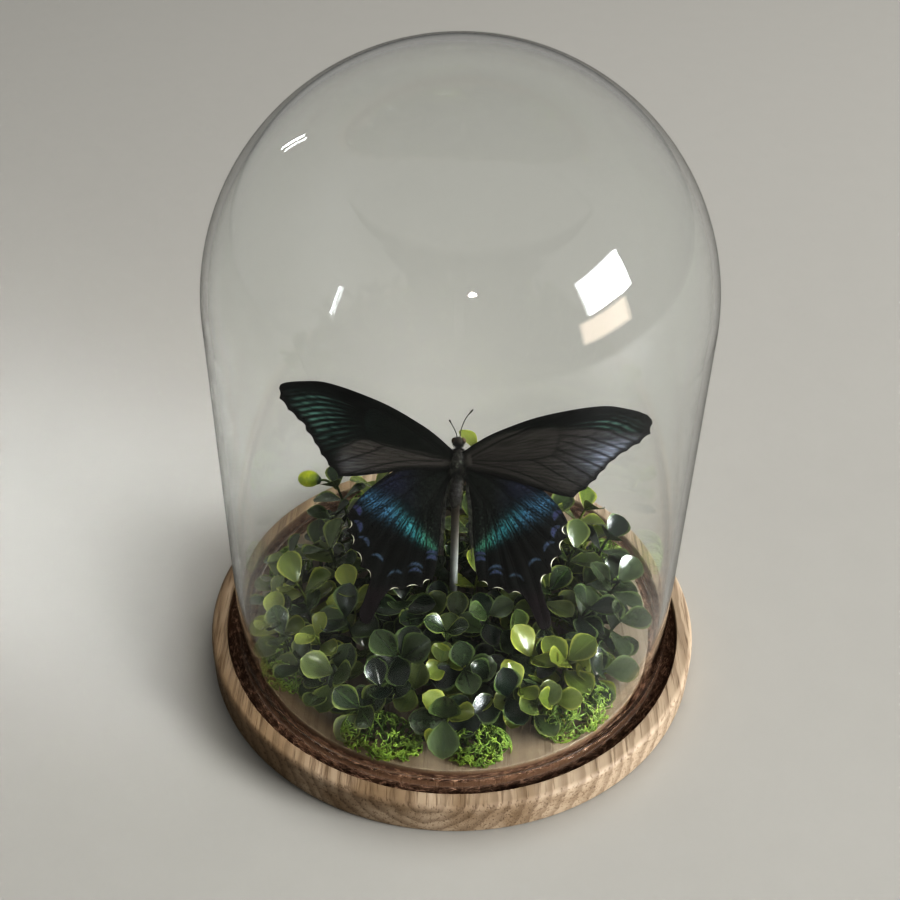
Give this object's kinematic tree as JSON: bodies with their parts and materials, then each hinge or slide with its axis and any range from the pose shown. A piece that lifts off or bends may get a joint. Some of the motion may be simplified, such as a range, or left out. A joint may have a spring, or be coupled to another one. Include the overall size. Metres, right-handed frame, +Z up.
{
  "type": "insect in glass dome",
  "caption": "Dried black swallowtail butterfly on a clear rod over artificial boxwood and moss, on a turned wood base under a clear glass dome.",
  "frame": {"origin": "centre of the flat underside of the wood base", "axes": "+Z up along the dome's axis, -Y towards the front, where the butterfly's tails point, +X to the viewer's right from the front"},
  "size_m": [0.17, 0.17, 0.2147],
  "materials": {
    "wood": "open-grained pale brown wood, bare and slightly darker in the groove",
    "glass": "clear blown glass with a rounded fire-polished rim",
    "clear_plastic": "frosted clear rod",
    "insect_body": "black-brown, covered in short fine hair",
    "wing_scales": "velvet black wing scales with iridescent blue and green bands and pale crescents at the margin",
    "dark_leaves": "glossy dark blue-green moulded leaves with pale edges",
    "green_leaves": "glossy green moulded leaves with pale edges",
    "yellow_leaves": "glossy yellow-green moulded leaves",
    "moss": "bright green dyed moss of fine branching strands"
  },
  "bodies": {
    "root": {"wood_base": "wood", "glass_dome": "glass", "support_rod": "clear_plastic", "butterfly_body": "insect_body", "antenna_left": "insect_body", "antenna_right": "insect_body", "leg_front_left": "insect_body", "leg_front_right": "insect_body", "leg_middle_left": "insect_body", "leg_middle_right": "insect_body", "leg_hind_left": "insect_body", "leg_hind_right": "insect_body", "forewing_left": "wing_scales", "forewing_right": "wing_scales", "hindwing_left": "wing_scales", "hindwing_right": "wing_scales", "boxwood_sprig_01": "dark_leaves", "boxwood_sprig_02": "green_leaves", "boxwood_sprig_03": "dark_leaves", "boxwood_sprig_04": "yellow_leaves", "boxwood_sprig_05": "yellow_leaves", "boxwood_sprig_06": "dark_leaves", "boxwood_sprig_07": "dark_leaves", "boxwood_sprig_08": "dark_leaves", "boxwood_sprig_09": "yellow_leaves", "boxwood_sprig_10": "green_leaves", "boxwood_sprig_11": "yellow_leaves", "boxwood_sprig_12": "green_leaves", "boxwood_sprig_13": "green_leaves", "boxwood_sprig_14": "dark_leaves", "boxwood_sprig_15": "yellow_leaves", "boxwood_sprig_16": "green_leaves", "boxwood_sprig_17": "green_leaves", "boxwood_sprig_18": "yellow_leaves", "boxwood_sprig_19": "green_leaves", "boxwood_sprig_20": "dark_leaves", "boxwood_sprig_21": "yellow_leaves", "boxwood_sprig_22": "green_leaves", "boxwood_sprig_23": "dark_leaves", "boxwood_sprig_24": "green_leaves", "boxwood_sprig_25": "green_leaves", "boxwood_sprig_26": "dark_leaves", "boxwood_sprig_27": "dark_leaves", "boxwood_sprig_28": "dark_leaves", "boxwood_sprig_29": "dark_leaves", "boxwood_sprig_30": "yellow_leaves", "boxwood_sprig_31": "green_leaves", "boxwood_sprig_32": "dark_leaves", "boxwood_sprig_33": "green_leaves", "boxwood_sprig_34": "dark_leaves", "boxwood_sprig_35": "green_leaves", "boxwood_sprig_36": "dark_leaves", "moss_clump_1": "moss", "moss_clump_2": "moss", "moss_clump_3": "moss", "moss_clump_4": "moss", "moss_clump_5": "moss", "moss_clump_6": "moss", "moss_clump_7": "moss"}
  },
  "joints": []
}
